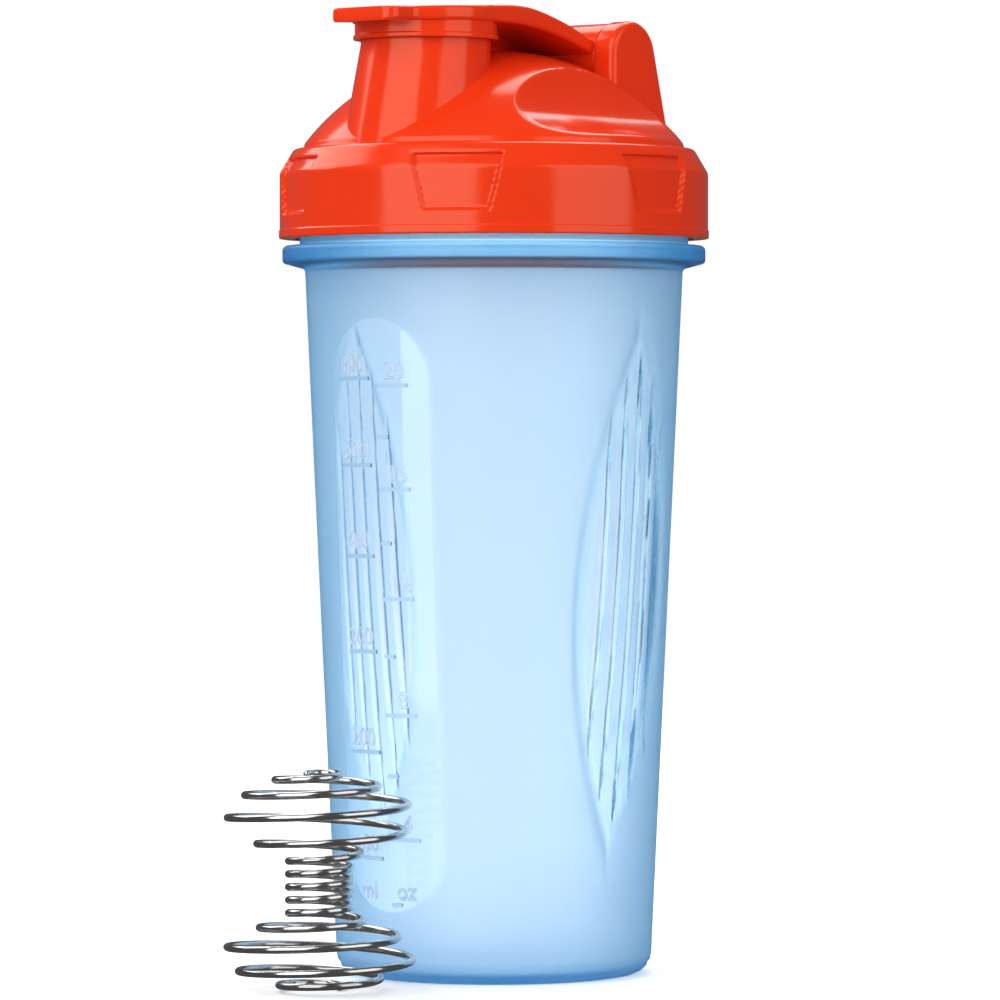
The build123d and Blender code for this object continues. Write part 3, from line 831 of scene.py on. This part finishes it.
def ear_outline(s):
    """Side view of an ear: round top, upright front, leaning back."""
    _, y, z = HINGE["pos_m"]
    lean = math.radians(15)
    foot = LID_CEILING + 1.5 * MM
    points = [Vector((y - s.ear_r, foot))]
    top = math.pi - lean
    for k in range(33):
        a = math.pi - top * k / 32
        points.append(Vector((y + s.ear_r * math.cos(a), z + s.ear_r * math.sin(a))))
    tangent = points[-1]
    points.append(Vector((tangent.x + (tangent.y - foot) * math.tan(lean), foot)))
    return split(points + points[:1], 2 * MM)[:-1]


class SHAKER_OT_gasket(bpy.types.Operator):
    """Builds the sealing ring under the lid's ceiling"""
    bl_idname = "shaker.gasket"
    bl_label = "Lid gasket"

    def execute(self, context):
        middle = 43.8 * MM
        low_r, high_r = middle - (GASKET_HIGH.x - middle), GASKET_HIGH.x
        low, high = GASKET_LOW.z, GASKET_HIGH.z
        soft = 0.4 * MM
        outline = rounded([
            (low_r, (low + high) / 2, 0), (low_r, low, soft), (high_r, low, soft),
            (high_r, high, soft), (low_r, high, soft), (low_r, (low + high) / 2, 0),
        ])
        made = solid("lid_gasket_ring", [spin(outline, evenly(160))], white_silicone(), 60)
        place(made, "gasket", "lid_gasket")
        return {"FINISHED"}


class SHAKER_OT_lid(bpy.types.Operator):
    """Builds the screw lid: skirt with pockets, dome with scoops, spout and hinge ears"""
    bl_idname = "shaker.lid"
    bl_label = "Screw lid"

    def execute(self, context):
        s = context.scene.shaker_lid
        red = glossy_polypropylene(s)
        foot = LID_LOW.z
        centre = s.dome_top - s.sphere_r
        edge_z = centre + math.sqrt(s.sphere_r**2 - s.dome_r**2)
        lip_r = s.skirt_r + s.lip
        collar = rounded([
            (s.bore, foot, 0), (lip_r, foot, 0.4 * MM), (lip_r, foot + 1.8 * MM, 0.2 * MM),
            (s.skirt_r, foot + 2.1 * MM, 0.2 * MM), (s.skirt_r, s.shoulder_z, 2.5 * MM),
            (s.shoulder_r, s.shoulder_top, 1.5 * MM), (s.dome_r + 0.4 * MM, s.shoulder_top, 0.4 * MM),
            (s.dome_r, edge_z, 0),
        ], 7)
        dome = dome_line(s.dome_r, s.sphere_r, centre, 90)
        bore = [
            Vector((s.bore, foot)), Vector((s.bore, LID_CEILING)),
            Vector((s.dome_r - s.wall, LID_CEILING)),
        ]
        inner = dome_line(s.dome_r - s.wall, s.sphere_r - s.wall, centre, 60)

        def pockets(x, y, z):
            angle, r = np.arctan2(y, x), np.hypot(x, y)
            cut = pocket_relief(s, angle, z) * (r > s.shoulder_r)
            k = 1 - cut / r
            return x * k, y * k, z

        def skin(inset):
            return lambda x, y, z: (x, y, np.minimum(z, dome_height(s, x, y, inset)))

        ring = evenly(720)
        parts = [
            spin(split(collar, 0.5 * MM), ring, pockets),
            without_bore(s, *spin(dome, evenly(360), skin(0))),
            spin(bore, evenly(180)),
            without_bore(s, *spin(inner, evenly(180), skin(s.wall))),
            thread(
                s.bore, -1, THREAD_Z - LID_THREAD_DROP + LID_THREAD_START * THREAD_LEAD,
                LID_TURNS, LID_THREAD_START,
            ),
        ]
        shell = solid("lid_shell", parts, red)
        spout = solid("lid_spout", [spout_tube(s)], red)
        _, y, z = HINGE["pos_m"]
        hole = (y, z, 3.25 * MM, 3.5 * MM)
        inner_x, outer_x = s.ear_gap / 2, s.ear_gap / 2 + s.ear_t
        ears = [
            prism_x(ear_outline(s), side * inner_x, side * outer_x, 1.6 * MM, hole)
            for side in (-1, 1)
        ]
        hinge_ears = solid("lid_hinge_ears", ears, red, 50)
        for made in (shell, spout, hinge_ears):
            place(made, "lid", "screw_lid")
        return {"FINISHED"}


def dome_line(edge_r, sphere_r, centre, count):
    """Side view of the dome, from its edge to the axis."""
    widest = math.asin(edge_r / sphere_r)
    line = []
    for k in range(count + 1):
        a = widest * (1 - k / count)
        line.append(Vector((sphere_r * math.sin(a), centre + sphere_r * math.cos(a))))
    line[-1].x = 0.0
    return line


# ---------------------------------------------------------------- flip cap
def through(knots, y):
    """Height at y of a smooth curve through knots (y, z)."""
    ys = [k[0] for k in knots]
    i = min(max(int(np.searchsorted(ys, y)) - 1, 0), len(knots) - 2)
    (y0, z0), (y1, z1) = knots[i], knots[i + 1]

    def slope(j):
        a, b = knots[max(j - 1, 0)], knots[min(j + 1, len(knots) - 1)]
        return (b[1] - a[1]) / (b[0] - a[0])

    h = y1 - y0
    t = (y - y0) / h
    m0, m1 = slope(i) * h, slope(i + 1) * h
    return (
        z0 * (2 * t**3 - 3 * t**2 + 1) + m0 * (t**3 - 2 * t**2 + t)
        + z1 * (-2 * t**3 + 3 * t**2) + m1 * (t**3 - t**2)
    )


def cap_half_width(s, lid, y):
    """Half width of the cap seen from above: tab, round plate, then strap."""
    tip_round = 3 * MM
    from_tip = y + s.tab_reach
    tab = s.tab_half_w
    if from_tip < tip_round:
        tab = s.tab_half_w - tip_round + math.sqrt(max(tip_round**2 - (tip_round - from_tip) ** 2, 0))
    beside = abs(y - lid.spout_y)
    plate = math.sqrt(max(s.plate_r**2 - beside**2, 0))
    if y > lid.spout_y:
        return max(plate, s.strap_half_w)
    return -float(lower_of(-tab, -plate, 2.5 * MM))


class SHAKER_OT_cap(bpy.types.Operator):
    """Builds the flip cap: thumb tab, plate with skirt and plug, strap and hinge barrel"""
    bl_idname = "shaker.cap"
    bl_label = "Flip cap"

    def execute(self, context):
        s, lid = context.scene.shaker_cap, context.scene.shaker_lid
        _, hinge_y, hinge_z = HINGE["pos_m"]
        roof = lid.spout_top + 0.5 * MM
        top = roof + s.band_t
        end_y, end_z = hinge_y - s.barrel_r + 1.5 * MM, hinge_z + 1.6 * MM
        upper = [
            (-s.tab_reach - 2 * MM, top - 1.2 * MM), (lid.spout_y, top - 0.2 * MM),
            (-8 * MM, top + 0.3 * MM), (5 * MM, top - 2.3 * MM), (end_y, end_z + 1.6 * MM),
        ]
        lower = [
            (-s.tab_reach - 2 * MM, top - 4.4 * MM), (lid.spout_y - 14 * MM, roof),
            (lid.spout_y + 14 * MM, roof), (4 * MM, roof - 2 * MM), (end_y, end_z - 1.7 * MM),
        ]
        stations = [-s.tab_reach + 0.02 * MM + 3 * MM * (k / 8) ** 2 for k in range(8)]
        span = end_y - stations[-1]
        stations += [stations[-1] + span * k / 90 for k in range(1, 91)]
        rows = []
        for y in stations:
            w = cap_half_width(s, lid, y)
            zt, zb = through(upper, y), through(lower, y)
            rows.append([(x, y, z) for x, z in edge_rounded(w, zb, zt, 0.9 * MM)])
        count = len(rows[0])
        points = [p for row in rows for p in row]
        faces = ring_faces(len(rows), count)
        faces += [list(range(count)), [len(points) - count + i for i in range(count)]]
        length = lid.ear_gap / 2 - 0.5 * MM
        barrel = rounded([
            (0, -length - 3 * MM, 0), (s.trunnion_r, -length - 3 * MM, 0.3 * MM),
            (s.trunnion_r, -length, 0), (s.barrel_r, -length, 0.4 * MM),
            (s.barrel_r, length, 0.4 * MM), (s.trunnion_r, length, 0),
            (s.trunnion_r, length + 3 * MM, 0.3 * MM), (0, length + 3 * MM, 0),
        ])
        inner = lid.spout_r + s.fit
        outer = inner + s.skirt_wall
        bead = outer + 0.35 * MM
        skirt_z = lid.spout_top - s.skirt_drop
        skirt = rounded([
            (inner, roof + 0.5 * MM, 0), (inner, skirt_z, 0.1 * MM), (bead, skirt_z, 0.25 * MM),
            (bead, skirt_z + 0.9 * MM, 0.15 * MM), (outer, skirt_z + 1.2 * MM, 0.15 * MM),
            (outer, roof + 0.5 * MM, 0),
        ])
        plug_r = lid.spout_bore - 0.5 * MM
        plug = rounded([
            (plug_r - 1.3 * MM, roof + 0.5 * MM, 0), (plug_r - 1.3 * MM, skirt_z, 0.3 * MM),
            (plug_r - 0.2 * MM, skirt_z, 0.5 * MM), (plug_r, roof + 0.5 * MM, 0),
        ])
        red = bpy.data.materials["glossy_moulded_polypropylene"]
        rings = []
        for outline in (skirt, plug):
            ring_points, ring_polys = spin(outline, evenly(128))
            moved = [(p[0], p[1] + lid.spout_y, p[2]) for p in ring_points]
            rings.append((moved, ring_polys))
        parts = [(points, faces), barrel_x(barrel, hinge_y, hinge_z), *rings]
        made = solid("flip_cap_moulding", parts, red, 50)
        place(made, "cap", "flip_cap")
        return {"FINISHED"}


def edge_rounded(half_w, low, high, radius):
    """Cross-section of the cap's band: a bar with rounded corners, as (x, z)."""
    radius = min(radius, (high - low) * 0.45, half_w * 0.6)
    out = []
    for cx, cz, start in (
        (half_w - radius, high - radius, 0), (-half_w + radius, high - radius, 90),
        (-half_w + radius, low + radius, 180), (half_w - radius, low + radius, 270),
    ):
        for k in range(6):
            a = math.radians(start + 90 * k / 5)
            out.append((cx + radius * math.cos(a), cz + radius * math.sin(a)))
    return out


# ---------------------------------------------------------------- whisk
class SHAKER_OT_whisk(bpy.types.Operator):
    """Builds the whisk: one wire wound as two balls joined by a close-coiled waist"""
    bl_idname = "shaker.whisk"
    bl_label = "Wire whisk"

    def execute(self, context):
        s = context.scene.shaker_whisk
        # (turn from the top, radius, height), in mm
        knots = [
            (0, 2.8, 48.5), (0.5, 4.4, 48.4), (1, 10, 47.2), (1.5, 13.2, 45.8), (2, 16.9, 43.8),
            (2.5, 20.1, 41.7), (3, 20.8, 38.8), (3.5, 19.2, 35.5), (4, 14, 33), (4.5, 9.3, 30.8),
            (5, s.waist_r / MM, s.waist_top / MM), (9, s.waist_r / MM, 17.5), (9.5, 9.6, 15.9),
            (10, 13.6, 14.2), (10.5, 17.8, 12.3), (11, 20.9, 9.9), (11.5, 20.9, 7),
            (12, 18.2, 4.6), (12.5, 13.6, 2.7), (13, 9, 1.5), (13.5, 4.4, 0.92),
        ]
        radii, heights = ([(k[0], k[i] * MM) for k in knots] for i in (1, 2))
        last = knots[-1][0]
        count = int(last * s.steps)
        line = []
        for k in range(count + 1):
            n = last * k / count
            waist = 5 <= n <= 9
            r = s.waist_r if waist else through(radii, n)
            z = through(heights, n)
            if waist:
                z = s.waist_top - (n - 5) * s.waist_pitch
            a = s.start - 2 * math.pi * n
            line.append(Vector((r * math.cos(a), r * math.sin(a), max(z, s.wire / 2))))
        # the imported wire's widest turn sets the reach
        reach = s.middle_y - WHISK_LOW.y - s.wire / 2
        k = min(1, reach / -min(p.y for p in line))
        line = [Vector((p.x * k, s.middle_y + p.y * k, p.z)) for p in line]
        made = solid("whisk_wire", [tube(line, s.wire / 2, 14)], polished_steel_wire(s))
        place(made, "whisk", "wire_whisk")
        return {"FINISHED"}


def tube(line, radius, sides):
    """Round wire along a line, with domed ends."""
    points = []
    up = Vector((0, 0, 1))
    count = len(line)
    for i, p in enumerate(line):
        ahead = (line[min(i + 1, count - 1)] - line[max(i - 1, 0)]).normalized()
        side = ahead.cross(up).normalized()
        over = side.cross(ahead)
        offsets = [(-0.9, 0.35), (-0.6, 0.8)] if i == 0 else []
        offsets += [(0.0, 1.0)]
        if i == count - 1:
            offsets += [(0.6, 0.8), (0.9, 0.35)]
        for shift, scale in offsets:
            for a in evenly(sides):
                out = side * math.cos(a) + over * math.sin(a)
                points.append(p + ahead * radius * shift + out * radius * scale)
    rows = len(points) // sides
    faces = ring_faces(rows, sides)
    faces += [list(range(sides)), [len(points) - sides + k for k in range(sides)]]
    return points, faces


# ---------------------------------------------------------------- stage
class SHAKER_OT_stage(bpy.types.Operator):
    """Builds the floor, the soft studio light and the camera"""
    bl_idname = "shaker.stage"
    bl_label = "Stage"

    def execute(self, context):
        scene, s = context.scene, context.scene.shaker_stage
        scene.view_settings.view_transform = "Standard"
        edge = [(s.floor_r * math.cos(a), s.floor_r * math.sin(a), 0) for a in evenly(96)]
        floor = solid("studio_floor", [(edge, [list(range(96))])], opal_acrylic(s))
        floor.visible_diffuse = floor.visible_glossy = False

        world = bpy.data.worlds.new("studio_light")
        scene.world = world
        world.use_nodes = True
        tree = world.node_tree
        ray = add_node(tree, "LightPath")
        mirrored = add_node(
            tree, "Math", {0: ray.outputs["Is Glossy Ray"], 1: ray.outputs["Is Reflection Ray"]},
            operation="MULTIPLY",
        )
        strength = s.room_light
        for seen, value in (
            (mirrored, s.room_gloss), (ray.outputs["Is Transmission Ray"], s.room_through),
            (ray.outputs["Is Camera Ray"], s.room_seen),
        ):
            strength = add_node(
                tree, "Mix", {"Factor": seen, "A": strength, "B": value}, data_type="FLOAT"
            )
        feed(tree, tree.nodes["Background"], {"Strength": strength, "Color": (1, 1, 1, 1)})

        turn = s.azimuth
        back = Vector((math.sin(turn), -math.cos(turn), 0))
        right = Vector((math.cos(turn), math.sin(turn), 0))

        def softbox(name, azimuth, distance, width, height, up, power):
            a = math.radians(azimuth)
            where = (back * math.cos(a) + right * math.sin(a)) * distance + Vector((0, 0, up))
            lamp = bpy.data.lights.new(name, "AREA")
            lamp.shape, lamp.size, lamp.size_y = "RECTANGLE", width, height
            lamp.energy = power
            made = bpy.data.objects.new(name, lamp)
            made.location = where
            made.rotation_euler = (Vector((0, 0, 0.12)) - where).to_track_quat("-Z", "Y").to_euler()
            scene.collection.objects.link(made)

        # azimuth from the camera, distance, width, height, height above the floor, watts
        softbox("left_softbox", -35, 1.5, 1.7, 2.2, 0.8, 27)
        softbox("right_softbox", 54, 1.5, 1.3, 1.8, 0.5, 11)
        softbox("side_softbox", -122, 1.3, 1.1, 1.0, 1.1, 9)
        softbox("top_softbox", 180, 0.9, 1.4, 1.0, 1.5, 16)

        lens = bpy.data.cameras.new("camera")
        lens.lens = s.lens
        lens.sensor_width = 36
        lens.clip_end = 20
        camera = bpy.data.objects.new("camera", lens)
        camera.location = back * s.distance + Vector((0, 0, s.eye))
        aim = right * s.aside + Vector((0, 0, s.aim))
        camera.rotation_euler = (aim - camera.location).to_track_quat("-Z", "Y").to_euler()
        scene.collection.objects.link(camera)
        scene.camera = camera
        return {"FINISHED"}


# ---------------------------------------------------------------- add-on
class SHAKER_PT_panel(bpy.types.Panel):
    """Buttons that build the shaker bottle piece by piece"""
    bl_idname = "SHAKER_PT_panel"
    bl_label = "Shaker bottle"
    bl_space_type = "VIEW_3D"
    bl_region_type = "UI"
    bl_category = "Shaker"

    def draw(self, context):
        for operator in OPERATORS:
            self.layout.operator(operator.bl_idname)


SETTINGS = {
    "shaker_cup": ShakerCup, "shaker_marks": ShakerMarks, "shaker_lid": ShakerLid,
    "shaker_cap": ShakerCap, "shaker_whisk": ShakerWhisk, "shaker_stage": ShakerStage,
}
OPERATORS = (
    SHAKER_OT_stage, SHAKER_OT_cup, SHAKER_OT_marks, SHAKER_OT_gasket, SHAKER_OT_lid,
    SHAKER_OT_cap, SHAKER_OT_whisk,
)
CLASSES = (*SETTINGS.values(), *OPERATORS, SHAKER_PT_panel)


def register():
    for cls in CLASSES:
        bpy.utils.register_class(cls)
    for name, cls in SETTINGS.items():
        setattr(bpy.types.Scene, name, PointerProperty(type=cls))


def unregister():
    for name in SETTINGS:
        delattr(bpy.types.Scene, name)
    for cls in reversed(CLASSES):
        bpy.utils.unregister_class(cls)


def main():
    register()
    bpy.ops.shaker.stage()
    bpy.ops.shaker.cup()
    bpy.ops.shaker.marks()
    bpy.ops.shaker.gasket()
    bpy.ops.shaker.lid()
    bpy.ops.shaker.cap()
    bpy.ops.shaker.whisk()


if __name__ == "__main__":
    main()
